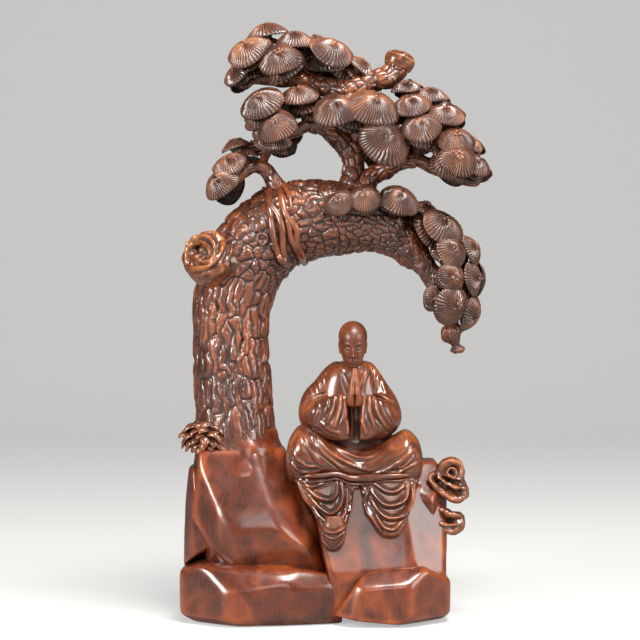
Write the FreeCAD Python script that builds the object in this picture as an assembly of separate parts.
"""A small carved boxwood ornament: an old pine leans over a seated monk on a rock.

The carving is put together from separately carved pieces, as larger carvings of this kind are: stones
bedded against each other, a trunk tenoned into a stone, branches let into the trunk, sprays of needle
fans trimmed round their branches, vines and fungi, and a figure made of head, hands, robe and drapes
that stands on a hidden dowel.

Units are millimetres. +Z is up and the viewer looks along +Y. The origin lies under the middle of the
carving's width, in the plane that it rests on. A place is given as shares of the size that it follows:
the rock's half width and half depth, the tree's reach, half depth and rise, or the figure's half width,
half depth and height.
"""
import FreeCAD
import Part
import math
import os
from FreeCAD import Placement, Rotation, Vector

os.makedirs("parts", exist_ok=True)

# The rock: its footprint, and the heights of its three steps.
base_width = 90.0
base_depth = 54.0
base_centre_x = -6.5
ledge_height = 19.0
seat_height = 45.0
shoulder_height = 57.0
bedding_depth = 7.0

# The tree: from the trunk's foot to its furthest tips.
tree_reach = 84.0
tree_rise = 143.0
tree_half_depth = 25.0
trunk_radius = 12.8
trunk_foot_share = -0.585
bark_rib_height = 0.7
tenon_radius = 6.0
tenon_length = 11.0
glue_gap = 0.1
branch_radius = 4.0
fan_radius = 6.8
stalk_radius = 1.2
stalk_head_radius = 2.6
vine_radius = 1.2
burl_radius = 7.2
burl_length = 20.0
burl_hollow_radius = 4.4
snag_radius = 4.9
snag_length = 6.5

# The seated figure: seat to crown, knee to knee, front to back, and its middle behind the seat's edge.
figure_height = 54.0
figure_half_width = 23.0
figure_half_depth = 19.0
figure_setback = 20.5
figure_seat_share = 0.287
head_height = 15.4
head_half_width = 5.1
head_half_depth = 6.3
head_bow_angle = 16.0
neck_radius = 3.1
nose_length = 3.2
ear_radius = 1.5
hand_length = 14.0
hand_half_width = 2.7
hand_thickness = 2.1
thumb_radius = 0.75
hem_radius = 1.5
collar_radius = 1.0
dowel_radius = 2.0
dowel_length = 16.0

# The fungi: the shelf pair on the right, and the scaled tuft on the left.
shelf_radius = 8.0
shelf_thickness = 4.6
shelf_stem_radius = 3.0
tuft_radius = 7.6
scale_radius = 3.1

overrun = 1.0
cut_reach = 200.0
up = Vector(0, 0, 1)
toward_back = Vector(0, 1, 0)
to_right = Vector(1, 0, 0)


# Shared shapes

def save(name, shape):
    """Writes one piece as the node of that name."""
    shape.exportStep(os.path.join("parts", name + ".step"))


def perpendicular(vector, axis):
    """The unit vector nearest to vector that is square to axis."""
    across = vector - axis * vector.dot(axis)
    return across.normalize()


def ring(centre, u_half, v_half, flutes=0, flute_share=0.0, count=12):
    """A smooth closed outline round centre: an ellipse whose half axes are two vectors, with flutes."""
    swell = 3.0 / (2.0 + math.cos(2 * math.pi / count))
    poles = []
    for i in range(count):
        turn = 2 * math.pi * i / count
        reach = swell * (1 + flute_share * math.cos(flutes * turn))
        poles.append(centre + (u_half * math.cos(turn) + v_half * math.sin(turn)) * reach)
    curve = Part.BSplineCurve()
    curve.buildFromPolesMultsKnots(poles, [1] * (count + 1), list(range(count + 1)), True, 3)
    return Part.Wire(curve.toShape())


def skin(rings):
    """The solid whose smooth wall passes through all the rings, right side out."""
    solid = Part.makeLoft(rings, True, False)
    if solid.Volume < 0:
        solid.reverse()
    return solid


def along(points, index):
    """The unit direction of a path at one of its points."""
    before = points[max(index - 1, 0)]
    after = points[min(index + 1, len(points) - 1)]
    return (after - before).normalize()


def limb(points, radii):
    """A round tapering limb through the points."""
    rings = []
    for i, (point, radius) in enumerate(zip(points, radii)):
        axis = along(points, i)
        side = perpendicular(toward_back, axis)
        rings.append(ring(point, side * radius, axis.cross(side) * radius))
    return skin(rings)


def turned(profile, place, axis):
    """A solid turned from a profile of (radius, height) pairs, stood at place along axis."""
    outline = [Vector(radius, 0, height) for radius, height in profile]
    face = Part.Face(Part.makePolygon(outline + [outline[0]]))
    solid = face.revolve(Vector(0, 0, 0), up, 360)
    solid.Placement = Placement(place, Rotation(up, axis))
    return solid


def fuse(pieces):
    """One solid from pieces that run into each other."""
    return pieces[0].multiFuse(pieces[1:]) if len(pieces) > 1 else pieces[0]


def trim(shape, tools):
    """The main body of a shape once each tool that its bounding box meets is cut away from it."""
    for tool in tools:
        if shape.BoundBox.intersect(tool.BoundBox):
            shape = shape.cut(tool)
    return max(shape.Solids, key=lambda solid: solid.Volume)


# The stones

def half_space(point, normal):
    """Everything on the far side of a plane, as far as any cut here needs."""
    corner = Vector(-cut_reach / 2, -cut_reach / 2, 0)
    block = Part.makeBox(cut_reach, cut_reach, cut_reach, corner)
    block.Placement = Placement(point, Rotation(up, normal))
    return block


def rock_point(x_share, y_share, height):
    """A place on the rock from shares of its half width and half depth."""
    return Vector(base_centre_x + x_share * base_width / 2, y_share * base_depth / 2, height)


def stone(low, high, facet_shares):
    """A block cut by slanting planes, each a direction and a reach in the block's own half sizes."""
    centre = (low + high) * 0.5
    half = (high - low) * 0.5
    block = Part.makeBox(high.x - low.x, high.y - low.y, high.z - low.z, low)
    for x, y, z, reach in facet_shares:
        point = centre + Vector(x * half.x, y * half.y, z * half.z) * (reach / (x * x + y * y + z * z))
        normal = Vector(x / half.x, y / half.y, z / half.z).normalize()
        block = block.cut(half_space(point, normal))
    return block


bedding_height = ledge_height - bedding_depth

ledge_left_facet_shares = [
    (-1, -1, 0, 1.42), (-1, -0.35, 0, 1.12), (1, -1, 0, 1.52), (0, -1, 0.5, 1.32), (0, -1, 1.3, 1.95),
    (0.5, 0, 1, 1.18), (-1, 0, 1, 1.66), (-1, -1, -1, 2.15), (0.2, -1, -0.8, 1.62), (-1, 0, -0.6, 1.42),
    (-1, 1, 0, 1.6),
]
ledge_left = stone(rock_point(-1, -1, 0), rock_point(0.11, 0.4, ledge_height), ledge_left_facet_shares)

ledge_right_facet_shares = [
    (-0.55, 0, 1, 0.78), (1, 0, 0.8, 1.3), (1, -1, 0, 1.36), (-1, -1, 0, 1.58), (0, -1, 0.45, 1.28),
    (0.1, -1, 1.2, 1.92), (1, -1, -1, 2.1), (1, -0.4, 0, 1.16), (1, 0, -0.6, 1.44), (1, 1, 0, 1.6),
]
ledge_right = stone(rock_point(0.08, -1, 0), rock_point(1, 0.35, ledge_height), ledge_right_facet_shares)

ledge_back_facet_shares = [
    (-1, 1, 0, 1.5), (1, 1, 0, 1.5), (0, 1, 0.6, 1.36), (-0.4, 1, 0, 1.2), (0.3, 0.2, 1, 1.22),
    (1, 0, 0.5, 1.25), (-1, 0, 0.6, 1.35), (0, 1, -0.7, 1.55),
]
ledge_back = stone(rock_point(-0.9, 0.2, 0), rock_point(0.97, 1, ledge_height), ledge_back_facet_shares)
ledge_right = trim(ledge_right, [ledge_left])
ledge_back = trim(ledge_back, [ledge_left, ledge_right])

shoulder_facet_shares = [
    (1.26, 0, 0.57, 1.09), (0, -1.73, 0.53, 1.36), (-1.7, 0, 0.2, 1.62), (-1, -1, 0, 1.42),
    (1, -1, 0.3, 1.3), (0.35, -1, -0.5, 1.3), (-1, 1, 0.2, 1.6), (1, 1, 0.4, 1.5), (0, 1.6, 0.5, 1.78),
]
shoulder_stone = stone(
    rock_point(-0.945, -0.74, bedding_height), rock_point(0.03, 0.74, shoulder_height), shoulder_facet_shares
)
shoulder_stone = trim(shoulder_stone, [ledge_left, ledge_right, ledge_back])

slab_top_share = 0.87
slab_facet_shares = [(-1, -1, 0.3, 1.4), (-1, 0, 0.5, 1.2), (-0.6, 1, 0.4, 1.4), (0, -1, 0.6, 1.25)]
slab_stone = stone(
    rock_point(-0.985, -0.3, bedding_height),
    rock_point(-0.74, 0.6, shoulder_height * slab_top_share),
    slab_facet_shares,
)
slab_stone = trim(slab_stone, [shoulder_stone, ledge_left, ledge_back])

seat_facet_shares = [
    (0.1, -1.64, 0.5, 1.34), (-1, -1, 0, 1.5), (1, 0, 0.35, 1.12), (1, -1, 0.1, 1.42), (1, 1, 0.2, 1.5),
    (-0.4, -1, -0.5, 1.38), (0.6, -1, -0.6, 1.5),
]
seat_front_share = -0.76
seat_stone = stone(
    rock_point(-0.16, seat_front_share, bedding_height),
    rock_point(0.96, 0.62, seat_height),
    seat_facet_shares,
)
seat_stone = trim(seat_stone, [ledge_left, ledge_right, ledge_back, shoulder_stone])

rear_top_share = 0.88
rear_facet_shares = [(0, 1, 0.6, 1.25), (-1, 1, 0, 1.5), (1, 1, 0.3, 1.45), (0.3, 0, 1, 1.15)]
rear_stone = stone(
    rock_point(-0.2, 0.4, bedding_height),
    rock_point(0.72, 0.93, seat_height * rear_top_share),
    rear_facet_shares,
)
rear_stone = trim(rear_stone, [seat_stone, shoulder_stone, ledge_back, ledge_left, ledge_right])

crag_top_share = 1.13
crag_facet_shares = [
    (1, 0, 0.7, 1.3), (1, -1, 0.2, 1.35), (-1, -1, 0.4, 1.5), (1, 1, 0, 1.4), (-1, 0, 1, 1.5),
    (0, -1, 0.8, 1.4),
]
crag_stone = stone(
    rock_point(0.6, -0.3, bedding_height),
    rock_point(0.95, 0.7, seat_height * crag_top_share),
    crag_facet_shares,
)
crag_stone = trim(crag_stone, [seat_stone, rear_stone, ledge_back, ledge_right])


# The trunk and its branches

def tree_place(x_share, depth_share, z_share):
    """A place in the tree, from the trunk's foot."""
    foot_x = base_centre_x + trunk_foot_share * base_width / 2
    return Vector(
        foot_x + x_share * tree_reach, depth_share * tree_half_depth, shoulder_height + z_share * tree_rise
    )


def tree_limb(shares, radius):
    """A limb of the tree from rows of x, depth, height and thickness shares, and the points it follows."""
    points = [tree_place(x, depth, z) for x, depth, z, thick in shares]
    return limb(points, [radius * thick for x, depth, z, thick in shares]), points


trunk_shares = [
    (0.000, 0.10, 0.000, 1.06), (-0.008, 0.10, 0.061, 1.00), (-0.016, 0.11, 0.156, 0.97),
    (-0.024, 0.12, 0.250, 0.97), (-0.018, 0.12, 0.344, 1.00), (0.036, 0.12, 0.441, 1.08),
    (0.156, 0.10, 0.511, 1.08), (0.297, 0.08, 0.535, 1.04), (0.437, 0.05, 0.537, 0.94),
    (0.558, 0.02, 0.518, 0.74), (0.658, 0.00, 0.478, 0.50), (0.746, -0.04, 0.427, 0.33),
    (0.810, -0.10, 0.363, 0.23), (0.853, -0.14, 0.290, 0.16), (0.872, -0.14, 0.240, 0.12),
]
trunk_points = [tree_place(x, depth, z) for x, depth, z, thick in trunk_shares]
trunk_radii = [trunk_radius * thick for x, depth, z, thick in trunk_shares]
bark_rib_count = 6
rib_share = bark_rib_height / 2 / trunk_radius
bark_rib_poles = 3
trunk_rings = []
for i, radius in enumerate(trunk_radii):
    trunk_axis = along(trunk_points, i) if i > 0 else up
    trunk_side = perpendicular(toward_back, trunk_axis)
    trunk_over = trunk_side.cross(trunk_axis)
    trunk_rings.append(
        ring(
            trunk_points[i], trunk_over * radius, trunk_side * radius,
            bark_rib_count, rib_share, bark_rib_count * bark_rib_poles,
        )
    )
trunk = skin(trunk_rings)
tenon = Part.makeCylinder(tenon_radius, tenon_length + overrun, trunk_points[0] - up * tenon_length, up)
mortise_depth = tenon_length + glue_gap
mortise_foot = trunk_points[0] - up * mortise_depth
mortise = Part.makeCylinder(tenon_radius + glue_gap, mortise_depth + overrun, mortise_foot, up)
trunk = trunk.fuse(tenon)
shoulder_stone = shoulder_stone.cut(mortise)

riser_shares = [
    (0.437, 0.05, 0.570, 0.95), (0.465, 0.06, 0.639, 1.00), (0.461, 0.06, 0.686, 0.86),
    (0.417, 0.02, 0.726, 0.80), (0.357, -0.02, 0.749, 0.74), (0.310, -0.03, 0.755, 0.68),
]
riser = tree_limb(riser_shares, branch_radius)[0]

upright_shares = [
    (0.461, 0.06, 0.670, 0.70), (0.468, 0.10, 0.733, 0.62), (0.458, 0.10, 0.787, 0.62),
    (0.425, 0.04, 0.836, 0.60),
]
upright = tree_limb(upright_shares, branch_radius)[0]

crown_branch_shares = [
    (0.660, 0.02, 0.906, 1.00), (0.626, 0.00, 0.872, 1.00), (0.546, -0.06, 0.853, 0.90),
    (0.481, -0.10, 0.841, 0.84), (0.421, -0.10, 0.833, 0.86), (0.357, -0.08, 0.844, 0.80),
    (0.300, -0.06, 0.855, 0.76),
]
crown_branch, crown_points = tree_limb(crown_branch_shares, branch_radius)

right_branch_shares = [
    (0.470, 0.10, 0.560, 1.10), (0.515, 0.08, 0.622, 1.00), (0.575, 0.02, 0.648, 0.84),
    (0.650, -0.06, 0.667, 0.76), (0.700, -0.09, 0.671, 0.68),
]
right_branch = tree_limb(right_branch_shares, branch_radius)[0]

snag_profile = [
    (0, -snag_length), (snag_radius * 0.86, -snag_length), (snag_radius, -snag_length * 0.3),
    (snag_radius * 0.96, 0), (snag_radius * 0.6, snag_length * 0.3), (0, snag_length * 0.36),
]
snag_axis = (crown_points[0] - crown_points[1]).normalize()
snag_cap = turned(snag_profile, crown_points[0], snag_axis)

upright = trim(upright, [riser])
crown_branch = trim(crown_branch, [upright])
snag_cap = trim(snag_cap, [crown_branch])
right_branch = trim(right_branch, [riser])

# The burl: a broken stub with a hollow, grown over at its rim.
burl_root_share = (0.040, 0.00, 0.440)
burl_profile = [
    (0, 0), (burl_radius * 0.95, 0),
    (burl_radius * 1.02, burl_length * 0.55), (burl_radius, burl_length * 0.9),
    (burl_radius * 0.82, burl_length), (burl_hollow_radius, burl_length * 0.94),
    (burl_hollow_radius * 0.6, burl_length * 0.87), (0, burl_length * 0.85),
]
burl_axis = Vector(-0.86, -0.42, 0.24).normalize()
burl = turned(burl_profile, tree_place(*burl_root_share), burl_axis)


# The boughs: limbs that carry fans of needles

fan_rib_count = 12
fan_valley_share = 0.9
fan_rise_share = 0.5
fan_shoulder_share = 0.64
fan_shoulder_rise_share = 0.7


def fan(centre, direction, radius, rib_count=fan_rib_count):
    """A ribbed dome of needles: flat below, with two flights of ribs above."""
    place = Placement(centre, Rotation(up, direction))
    rise = radius * fan_rise_share
    rim = []
    shoulder = []
    for i in range(2 * rib_count):
        turn = math.pi * i / rib_count
        reach = radius * (fan_valley_share if i % 2 else 1)
        spoke = Vector(reach * math.cos(turn), reach * math.sin(turn), 0)
        rim.append(place.multVec(spoke))
        shoulder.append(place.multVec(spoke * fan_shoulder_share + up * rise * fan_shoulder_rise_share))
    apex = place.multVec(up * rise)
    faces = [Part.Face(Part.makePolygon(rim + [rim[0]]))]
    for i in range(len(rim)):
        j = (i + 1) % len(rim)
        faces.append(Part.Face(Part.makePolygon([rim[i], rim[j], shoulder[j], shoulder[i], rim[i]])))
        faces.append(Part.Face(Part.makePolygon([shoulder[i], shoulder[j], apex, shoulder[i]])))
    return Part.makeSolid(Part.makeShell(faces))


def nearest(points, place):
    """The point of a limb's line that lies nearest to a place."""
    best = points[0]
    for start, end in zip(points, points[1:]):
        run = end - start
        share = max(0.0, min(1.0, (place - start).dot(run) / run.dot(run)))
        candidate = start + run * share
        if (candidate - place).Length < (best - place).Length:
            best = candidate
    return best


middle_depth_share = 0.13
back_shift_share = 0.018
front_weight = 2.4
stalk_sink_share = 0.3


def bough(limb_shares, fan_shares, core_share, lift_share, both_sides=True):
    """Limbs that carry needle fans on stalks, facing away from a core, in front and again behind."""
    core = tree_place(*core_share)
    lift = up * (lift_share * tree_rise)
    limbs = [tree_limb(shares, branch_radius) for shares in limb_shares]
    pieces = [wood for wood, line in limbs]
    for x, depth, z, size in fan_shares:
        sides = [1, -1] if both_sides and abs(depth) > middle_depth_share else [1]
        for side in sides:
            shift = 0 if side > 0 else back_shift_share
            centre = tree_place(x + shift, depth * side, z)
            away = centre - core
            direction = (Vector(away.x, away.y * front_weight, away.z) + lift).normalize()
            pieces.append(fan(centre, direction, fan_radius * size))
            root = min([nearest(line, centre) for wood, line in limbs], key=lambda p: (p - centre).Length)
            stalk = centre + direction * (fan_rise_share * fan_radius * size * stalk_sink_share) - root
            pieces.append(Part.makeCone(stalk_radius, stalk_head_radius * size, stalk.Length, root, stalk))
    return fuse(pieces)


crown_bough = bough(
    [
        [(0.330, -0.07, 0.849, 0.66), (0.277, -0.06, 0.858, 0.68), (0.197, -0.06, 0.863, 0.64),
         (0.116, -0.06, 0.865, 0.56), (0.060, -0.06, 0.862, 0.44)],
    ],
    [
        (0.118, 0.00, 0.974, 1.02), (0.052, -0.32, 0.924, 1.05), (0.173, -0.50, 0.902, 1.00),
        (0.014, -0.22, 0.856, 0.86),
    ],
    (0.230, 0.00, 0.820), 0.10,
)
crown_upper_bough = bough(
    [
        [(0.425, -0.06, 0.838, 0.60), (0.357, 0.04, 0.880, 0.54), (0.290, 0.06, 0.896, 0.48),
         (0.245, 0.04, 0.925, 0.36)],
    ],
    [
        (0.229, -0.16, 0.952, 0.90), (0.377, -0.34, 0.924, 1.05), (0.489, -0.26, 0.890, 0.80),
        (0.321, 0.10, 0.956, 0.78),
    ],
    (0.230, 0.00, 0.820), 0.10,
)
tier_bough = bough(
    [
        [(0.340, -0.02, 0.752, 0.58), (0.289, -0.04, 0.756, 0.60), (0.237, -0.06, 0.742, 0.54),
         (0.177, -0.08, 0.728, 0.40)],
    ],
    [(0.112, -0.48, 0.790, 1.05), (0.249, -0.28, 0.805, 0.88), (0.169, -0.56, 0.745, 0.92)],
    (0.300, 0.00, 0.690), 0.10,
)
tier_right_bough = bough(
    [
        [(0.467, 0.06, 0.720, 0.52), (0.490, -0.02, 0.750, 0.56), (0.540, -0.06, 0.755, 0.50),
         (0.580, -0.08, 0.742, 0.38)],
    ],
    [
        (0.393, -0.52, 0.778, 1.08), (0.542, -0.48, 0.784, 1.22), (0.586, -0.64, 0.704, 1.20),
        (0.465, -0.24, 0.806, 0.75),
    ],
    (0.440, 0.00, 0.680), 0.10,
)
left_bough = bough(
    [
        [(0.215, 0.02, 0.545, 1.05), (0.166, -0.02, 0.603, 0.90), (0.120, -0.04, 0.643, 0.70),
         (0.076, -0.08, 0.656, 0.58), (0.028, -0.12, 0.642, 0.50), (-0.012, -0.16, 0.618, 0.38)],
        [(0.120, -0.04, 0.640, 0.52), (0.104, 0.00, 0.670, 0.46), (0.128, 0.02, 0.698, 0.34)],
    ],
    [
        (0.000, 0.00, 0.700, 0.68), (-0.012, -0.26, 0.655, 0.85), (-0.048, -0.36, 0.595, 0.88),
        (0.156, -0.30, 0.700, 0.85), (0.070, 0.12, 0.705, 0.60),
    ],
    (0.110, 0.00, 0.600), 0.10,
)
right_bough = bough(
    [
        [(0.675, -0.08, 0.669, 0.56), (0.718, -0.10, 0.672, 0.60), (0.798, -0.10, 0.652, 0.54),
         (0.899, -0.08, 0.626, 0.44), (0.960, -0.08, 0.618, 0.34)],
    ],
    [
        (0.726, -0.62, 0.736, 0.92), (0.867, -0.54, 0.710, 0.92), (0.940, -0.20, 0.712, 0.62),
        (0.871, -0.70, 0.663, 0.88), (0.960, -0.36, 0.655, 0.68),
    ],
    (0.780, 0.00, 0.610), 0.10,
)
right_upper_bough = bough(
    [
        [(0.650, -0.06, 0.662, 0.60), (0.700, 0.00, 0.702, 0.54), (0.752, 0.04, 0.745, 0.48),
         (0.780, 0.02, 0.785, 0.36)],
    ],
    [
        (0.674, -0.18, 0.838, 0.68), (0.778, -0.20, 0.820, 0.82), (0.694, -0.46, 0.790, 0.88),
        (0.834, -0.42, 0.772, 0.88),
    ],
    (0.780, 0.00, 0.610), 0.10,
)
front_bough = bough(
    [
        [(0.400, -0.30, 0.545, 0.60), (0.450, -0.42, 0.565, 0.54), (0.540, -0.42, 0.570, 0.50),
         (0.620, -0.32, 0.568, 0.44), (0.665, -0.26, 0.575, 0.34)],
    ],
    [(0.405, -0.58, 0.566, 0.72), (0.506, -0.60, 0.575, 0.76), (0.646, -0.42, 0.583, 1.00)],
    (0.520, 0.00, 0.500), 0.0, False,
)
droop_bough = bough(
    [
        [(0.610, 0.00, 0.495, 0.70), (0.680, 0.04, 0.520, 0.60), (0.765, 0.04, 0.497, 0.54),
         (0.840, 0.02, 0.440, 0.48), (0.880, 0.00, 0.385, 0.40), (0.895, -0.02, 0.330, 0.30)],
    ],
    [
        (0.750, -0.10, 0.566, 0.66), (0.818, -0.32, 0.524, 1.15), (0.920, -0.12, 0.462, 0.76),
        (0.847, -0.44, 0.455, 0.80), (0.847, -0.48, 0.394, 0.72), (0.928, -0.16, 0.394, 0.82),
        (0.847, -0.44, 0.330, 0.90), (0.922, -0.12, 0.318, 0.74), (0.778, -0.36, 0.352, 0.55),
    ],
    (0.650, 0.00, 0.380), 0.0,
)
trunk = trim(trunk, [riser, right_branch, left_bough])
burl = trim(burl, [trunk, left_bough])
crown_bough = trim(crown_bough, [crown_branch])
crown_upper_bough = trim(crown_upper_bough, [crown_branch, upright, crown_bough])
tier_bough = trim(tier_bough, [riser, crown_bough, crown_branch])
tier_right_bough = trim(tier_right_bough, [upright, riser, right_branch, crown_branch, crown_upper_bough])
left_bough = trim(left_bough, [tier_bough])
right_bough = trim(right_bough, [right_branch, tier_right_bough])
right_upper_bough = trim(right_upper_bough, [right_branch, right_bough, tier_right_bough])
front_bough = trim(front_bough, [trunk, tier_right_bough])
droop_bough = trim(droop_bough, [trunk, right_bough, front_bough])


# The vines that wind round the limb

vine_turn_steps = 8
vine_sink_share = 0.35


def vine(start_share, advance_share, turns, lag_share):
    """A strand wound round the limb: it climbs from behind, crosses the front and ends behind."""
    points = []
    outward = []
    radii = []
    steps = round(vine_turn_steps * turns)
    for i in range(steps + 1):
        share = i / steps
        place = (start_share + advance_share * share) * (len(trunk_points) - 1)
        index = min(int(place), len(trunk_points) - 2)
        part = place - index
        centre = trunk_points[index] * (1 - part) + trunk_points[index + 1] * part
        reach = trunk_radii[index] * (1 - part) + trunk_radii[index + 1] * part
        reach = reach + vine_radius * vine_sink_share
        axis = (trunk_points[index + 1] - trunk_points[index]).normalize()
        side = perpendicular(toward_back, axis)
        turn = 2 * math.pi * (lag_share - turns * share)
        out = side * math.cos(turn) + side.cross(axis) * math.sin(turn)
        points.append(centre + out * reach)
        outward.append(out)
        radii.append(vine_radius * (0.75 + 0.25 * math.sin(math.pi * share)))
    rings = []
    for i, point in enumerate(points):
        axis = along(points, i)
        side = perpendicular(outward[i], axis)
        rings.append(ring(point, side * radii[i], axis.cross(side) * radii[i]))
    return skin(rings)


vine_inner = trim(vine(0.4150, 0.060, 1.5, 0.78), [trunk, left_bough])
vine_outer = trim(vine(0.4330, 0.060, 1.5, 0.78), [trunk, left_bough])


# The fungi

def shelf(place, axis, size):
    """A shelf fungus: a thick curled cap, hollow on top, with a rolled rim."""
    radius = shelf_radius * size
    thick = shelf_thickness * size
    profile = [
        (0, -thick * 0.5), (radius * 0.6, -thick * 0.5),
        (radius * 0.92, -thick * 0.22), (radius, thick * 0.1),
        (radius * 0.9, thick * 0.42), (radius * 0.74, thick * 0.5), (radius * 0.5, thick * 0.2),
        (0, thick * 0.1),
    ]
    return turned(profile, place, axis)


shelf_upper_place = rock_point(0.955, -0.16, seat_height * 1.02)
shelf_lower_place = rock_point(0.940, -0.20, seat_height * 0.73)
shelf_upper = shelf(shelf_upper_place, Vector(0.35, -0.62, 0.55).normalize(), 1.0)
shelf_lobe_place = shelf_upper_place + Vector(-shelf_radius * 0.62, 0, shelf_radius * 0.1)
shelf_upper_lobe = shelf(shelf_lobe_place, Vector(-0.1, -0.8, 0.6).normalize(), 0.6)
shelf_lower = shelf(shelf_lower_place, Vector(0.30, -0.70, 0.45).normalize(), 0.86)
shelf_stem_points = [
    rock_point(0.74, 0.10, seat_height * 0.72), rock_point(0.84, -0.02, seat_height * 0.82),
    rock_point(0.90, -0.10, seat_height * 0.93), shelf_upper_place,
]
shelf_stem = limb(shelf_stem_points, [shelf_stem_radius * share for share in (1.1, 1.0, 0.85, 0.7)])
stones = [
    ledge_left, ledge_right, ledge_back, shoulder_stone, slab_stone, seat_stone, rear_stone, crag_stone
]
shelf_stem = trim(shelf_stem, stones)
shelf_upper = trim(fuse([shelf_upper, shelf_upper_lobe]), stones + [shelf_stem])
shelf_lower = trim(shelf_lower, stones + [shelf_stem, shelf_upper])

tuft_centre = rock_point(-0.800, -0.20, shoulder_height * 1.07)
tuft_rib_count = 5
tuft_rows = [(1, 80), (5, 34), (6, -12)]
tuft_front_angle = -105
tuft_spread_angle = 250


def tuft():
    """A scaled tuft: rows of small ribbed shells that stand round a heart."""
    pieces = [Part.makeSphere(tuft_radius * 0.9, tuft_centre)]
    for count, lift_angle in tuft_rows:
        lift = math.radians(lift_angle)
        for i in range(count):
            turn = math.radians(tuft_front_angle + tuft_spread_angle * ((i + 0.5) / count - 0.5))
            out = Vector(math.cos(turn) * math.cos(lift), math.sin(turn) * math.cos(lift), math.sin(lift))
            place = tuft_centre + out * tuft_radius * 0.85
            pieces.append(fan(place, (out - up * 0.4).normalize(), scale_radius, tuft_rib_count))
    return fuse(pieces)


tuft_stem_points = [
    rock_point(-0.70, -0.10, shoulder_height * 0.80),
    rock_point(-0.76, -0.20, shoulder_height * 0.93),
    tuft_centre,
]
tuft_stem = limb(tuft_stem_points, [shelf_stem_radius * share for share in (1.1, 0.9, 0.8)])
tuft_stem = trim(tuft_stem, stones + [trunk])
scaled_tuft = trim(tuft(), stones + [trunk, tuft_stem])


# The seated figure

def figure_place(x_share, y_share, z_share):
    """A place on the figure, from the middle of its seat."""
    seat = rock_point(figure_seat_share, seat_front_share, seat_height) + toward_back * figure_setback
    return seat + Vector(x_share * figure_half_width, y_share * figure_half_depth, z_share * figure_height)


def level_rings(shares, flutes=0, flute_share=0.0, count=16):
    """Level outlines from rows of x, y, z, half width and half depth shares."""
    rings = []
    for x, y, z, half_width, half_depth in shares:
        u_half = to_right * (half_width * figure_half_width)
        v_half = toward_back * (half_depth * figure_half_depth)
        rings.append(ring(figure_place(x, y, z), u_half, v_half, flutes, flute_share, count))
    return rings


torso_shares = [
    (0, 0.08, 0.000, 0.66, 0.50), (0, 0.08, 0.100, 0.66, 0.50), (0, 0.07, 0.300, 0.60, 0.46),
    (0, 0.04, 0.480, 0.60, 0.42), (0, 0.03, 0.600, 0.56, 0.38), (0, 0.03, 0.680, 0.45, 0.34),
    (0, 0.04, 0.730, 0.33, 0.29), (0, 0.05, 0.762, 0.24, 0.24),
]
torso = skin(level_rings(torso_shares))

head_foot = figure_place(0, -0.10, 0.715)
head_axis = Vector(0, -math.sin(math.radians(head_bow_angle)), math.cos(math.radians(head_bow_angle)))
face_axis = Vector(0, -head_axis.z, head_axis.y)


def head_place(x_share, front_share, z_share):
    """A place on the head, from under the chin, with the bow of the head."""
    return (
        head_foot
        + to_right * (x_share * head_half_width)
        + face_axis * (front_share * head_half_depth)
        + head_axis * (z_share * head_height)
    )


head_shares = [
    (0.42, 0.000, 0.24, 0.22), (0.30, 0.060, 0.52, 0.50),
    (0.10, 0.200, 0.74, 0.82), (0.02, 0.360, 0.88, 0.94),
    (0.00, 0.540, 0.97, 1.00), (-0.04, 0.720, 0.98, 0.98), (-0.06, 0.860, 0.80, 0.80),
    (-0.06, 0.950, 0.50, 0.50),
    (-0.06, 0.995, 0.16, 0.16),
]
skull = skin(
    [
        ring(
            head_place(0, front, z), to_right * (wide * head_half_width), face_axis * (deep * head_half_depth)
        )
        for front, z, wide, deep in head_shares
    ]
)
nose_shares = [
    (0.90, 0.520, 0.09, 0.06), (0.98, 0.420, 0.14, 0.12),
    (1.02, 0.345, 0.22, 0.17), (0.92, 0.320, 0.18, 0.10),
]
nose = skin(
    [
        ring(head_place(0, front, z), to_right * (wide * head_half_width), face_axis * (deep * nose_length))
        for front, z, wide, deep in nose_shares
    ]
)
ears = []
for side in (-1, 1):
    ear_rings = []
    for z_share, size in ((0.28, 0.45), (0.36, 0.8), (0.48, 1.0), (0.56, 0.6)):
        ear_rings.append(
            ring(
                head_place(side * 0.98, -0.12, z_share),
                to_right * (ear_radius * size * 0.5),
                face_axis * (ear_radius * size),
            )
        )
    ears.append(skin(ear_rings))
neck_foot = figure_place(0, 0.02, 0.655)
neck_reach = head_place(0, -0.1, 0.3) - neck_foot
neck = Part.makeCylinder(neck_radius, neck_reach.Length, neck_foot, neck_reach)
head = fuse([skull, nose, neck] + ears)
torso = trim(torso, [head])

collar_shares = [
    (0.06, -0.39, 0.575), (0.11, -0.36, 0.625), (0.20, -0.26, 0.695), (0.26, -0.02, 0.750),
    (0.15, 0.26, 0.762), (-0.15, 0.26, 0.762), (-0.26, -0.02, 0.750), (-0.20, -0.26, 0.695),
    (-0.11, -0.36, 0.625), (-0.06, -0.40, 0.560),
]
collar_points = [figure_place(*share) for share in collar_shares]
collar_rings = []
for i, point in enumerate(collar_points):
    collar_axis = along(collar_points, i)
    collar_side = perpendicular(point - figure_place(0, 0, 0.70), collar_axis)
    collar_top = collar_axis.cross(collar_side)
    collar_rings.append(ring(point, collar_side * collar_radius, collar_top * collar_radius))
collar = trim(skin(collar_rings), [torso, head])

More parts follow.
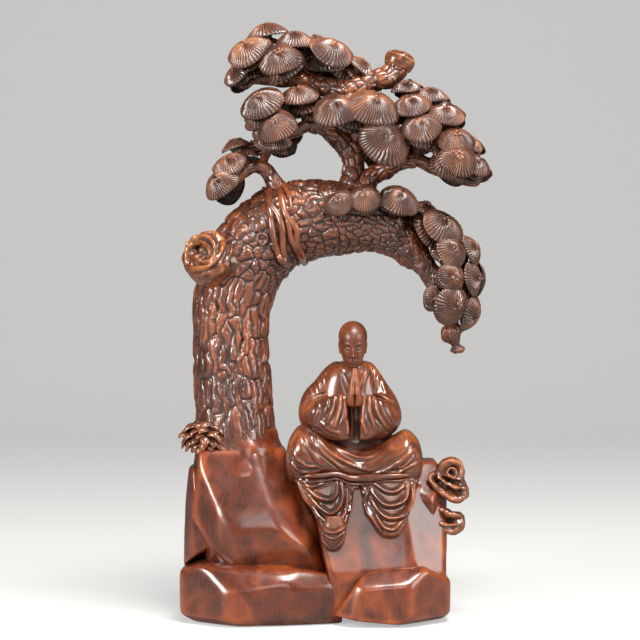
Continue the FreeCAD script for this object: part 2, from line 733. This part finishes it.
lap_shares = [
    (-0.98, -0.45, 0.140, 0.20, 0.070), (-0.92, -0.46, 0.155, 0.42, 0.140),
    (-0.76, -0.44, 0.185, 0.54, 0.180), (-0.50, -0.38, 0.160, 0.58, 0.155),
    (-0.22, -0.28, 0.120, 0.62, 0.125), (0.04, -0.24, 0.105, 0.64, 0.115),
    (0.28, -0.28, 0.115, 0.62, 0.122), (0.54, -0.38, 0.145, 0.58, 0.150),
    (0.74, -0.44, 0.165, 0.54, 0.170), (0.90, -0.46, 0.150, 0.42, 0.135),
    (0.97, -0.45, 0.135, 0.20, 0.070),
]
lap = skin(
    [
        ring(
            figure_place(x, y, z),
            toward_back * (half_depth * figure_half_depth),
            up * (half_height * figure_height),
        )
        for x, y, z, half_depth, half_height in lap_shares
    ]
)
lap = trim(lap, [torso, seat_stone, shoulder_stone, crag_stone])

# Each sleeve row is a place, then its half thickness and half height over the figure's half width.
sleeve_shares = [
    (0.26, 0.04, 0.700, 0.10, 0.10), (0.38, 0.03, 0.660, 0.17, 0.17), (0.50, -0.01, 0.580, 0.22, 0.22),
    (0.56, -0.08, 0.490, 0.24, 0.25), (0.56, -0.26, 0.415, 0.24, 0.26), (0.46, -0.47, 0.398, 0.20, 0.30),
    (0.30, -0.62, 0.392, 0.15, 0.35), (0.16, -0.69, 0.390, 0.12, 0.39), (0.07, -0.71, 0.390, 0.08, 0.36),
]


def mirrored(shape):
    """The same shape on the figure's other side."""
    return shape.mirror(figure_place(0, 0, 0), to_right)


def sleeve():
    """The left sleeve: wide, from the shoulder round the elbow to the cuff before the chest."""
    points = [figure_place(-x, y, z) for x, y, z, thick, tall in sleeve_shares]
    rings = []
    for i, (x, y, z, thick, tall) in enumerate(sleeve_shares):
        axis = along(points, i)
        across = perpendicular(-to_right - toward_back, axis)
        over = axis.cross(across)
        rings.append(
            ring(points[i], across * (thick * figure_half_width), over * (tall * figure_half_width))
        )
    return skin(rings).cut(half_space(figure_place(0, 0, 0), to_right))


whole_sleeve = sleeve()
sleeve_left = trim(whole_sleeve, [torso, lap, head])
sleeve_right = trim(mirrored(whole_sleeve), [torso, lap, head])

hand_foot = figure_place(0, -0.74, 0.455)
hand_axis = Vector(0, 0.10, 1).normalize()
hand_front = Vector(0, -1, 0.10).normalize()
# Each hand row is a height over the hand's length, then the width and thickness shares there.
hand_shares = [
    (-0.25, 0.62, 0.80), (0.00, 0.70, 0.86), (0.25, 1.00, 1.00), (0.50, 0.96, 0.86), (0.80, 0.80, 0.70),
    (0.96, 0.48, 0.50), (1.00, 0.20, 0.25),
]


def hand():
    """The left hand, held flat against the other with fingers up and its thumb behind."""
    rings = []
    for height, wide, thick in hand_shares:
        half_thick = hand_thickness * thick / 2
        centre = hand_foot + hand_axis * (height * hand_length) - to_right * half_thick
        rings.append(ring(centre, to_right * half_thick, hand_front * -(hand_half_width * wide)))
    thumb_points = [
        hand_foot + hand_axis * (height * hand_length) - hand_front * (back * hand_half_width)
        - to_right * (hand_thickness / 2)
        for height, back in ((0.10, 0.5), (0.30, 1.1), (0.52, 1.25))
    ]
    thumb = limb(thumb_points, [thumb_radius, thumb_radius, thumb_radius * 0.7])
    return fuse([skin(rings), thumb])


whole_hand = hand().cut(half_space(figure_place(0, 0, 0), to_right))
hand_left = trim(whole_hand, [torso, head])
hand_right = trim(mirrored(whole_hand), [torso, head])
sleeve_left = trim(sleeve_left, [hand_left, hand_right])
sleeve_right = trim(sleeve_right, [hand_left, hand_right])

# The hem: the rolled front edge of the robe from knee to knee.
hem_shares = [
    (-0.86, -0.80, 0.060), (-0.60, -0.95, 0.062), (-0.20, -0.93, 0.062), (0.05, -0.90, 0.048),
    (0.22, -0.92, 0.046), (0.44, -0.95, 0.060), (0.66, -0.95, 0.066), (0.86, -0.80, 0.085),
]
hem_thickness_shares = [0.6, 0.9, 1.0, 1.1, 1.15, 1.1, 0.9, 0.6]
hem_points = [figure_place(*share) for share in hem_shares]
hem = limb(hem_points, [hem_radius * share for share in hem_thickness_shares])
hem = trim(hem, [lap, seat_stone, shoulder_stone])

drape_left_shares = [
    (-0.46, -0.64, 0.080, 0.38, 0.22), (-0.45, -0.70, 0.030, 0.41, 0.24),
    (-0.38, -0.80, -0.080, 0.37, 0.22), (-0.34, -0.88, -0.190, 0.29, 0.20),
    (-0.32, -0.94, -0.280, 0.22, 0.17), (-0.32, -0.98, -0.340, 0.17, 0.14),
]
drape_right_shares = [
    (0.48, -0.64, 0.080, 0.40, 0.22), (0.48, -0.70, 0.030, 0.43, 0.24), (0.48, -0.80, -0.080, 0.36, 0.22),
    (0.48, -0.88, -0.180, 0.27, 0.20), (0.49, -0.95, -0.250, 0.18, 0.16), (0.50, -0.98, -0.310, 0.09, 0.11),
]
robe = [torso, lap, hem]
drape_left = trim(skin(level_rings(drape_left_shares, 7, 0.06, 28)), robe + stones)
drape_right = trim(skin(level_rings(drape_right_shares, 7, 0.06, 28)), robe + stones)

foot_shares = [
    (-0.32, -0.90, -0.300, 0.11, 0.12), (-0.32, -0.98, -0.350, 0.17, 0.19),
    (-0.32, -1.04, -0.395, 0.17, 0.19),
    (-0.32, -1.08, -0.425, 0.09, 0.10),
]
foot = trim(skin(level_rings(foot_shares)), stones + [drape_left])

dowel_foot = figure_place(0, 0.08, 0) - up * (dowel_length / 2)
dowel = Part.makeCylinder(dowel_radius, dowel_length, dowel_foot, up)
dowel_hole = Part.makeCylinder(
    dowel_radius + glue_gap, dowel_length + 2 * glue_gap, dowel_foot - up * glue_gap, up
)
torso = torso.cut(dowel_hole)
seat_stone = seat_stone.cut(dowel_hole)

nodes = {
    "ledge_stone_left": ledge_left,
    "ledge_stone_right": ledge_right,
    "ledge_stone_back": ledge_back,
    "shoulder_stone": shoulder_stone,
    "slab_stone": slab_stone,
    "seat_stone": seat_stone,
    "rear_stone": rear_stone,
    "crag_stone": crag_stone,
    "trunk": trunk,
    "trunk_burl": burl,
    "riser_branch": riser,
    "upright_branch": upright,
    "crown_branch": crown_branch,
    "snag_cap": snag_cap,
    "right_branch": right_branch,
    "crown_bough": crown_bough,
    "crown_upper_bough": crown_upper_bough,
    "tier_bough": tier_bough,
    "tier_right_bough": tier_right_bough,
    "left_bough": left_bough,
    "right_bough": right_bough,
    "right_upper_bough": right_upper_bough,
    "front_bough": front_bough,
    "droop_bough": droop_bough,
    "vine_inner": vine_inner,
    "vine_outer": vine_outer,
    "shelf_fungus_upper": shelf_upper,
    "shelf_fungus_lower": shelf_lower,
    "shelf_fungus_stem": shelf_stem,
    "scaled_tuft": scaled_tuft,
    "scaled_tuft_stem": tuft_stem,
    "robe_torso": torso,
    "robe_collar": collar,
    "robe_lap": lap,
    "robe_hem": hem,
    "robe_drape_left": drape_left,
    "robe_drape_right": drape_right,
    "sleeve_left": sleeve_left,
    "sleeve_right": sleeve_right,
    "hand_left": hand_left,
    "hand_right": hand_right,
    "head": head,
    "foot_left": foot,
    "figure_dowel": dowel,
}
for name, shape in nodes.items():
    save(name, shape)
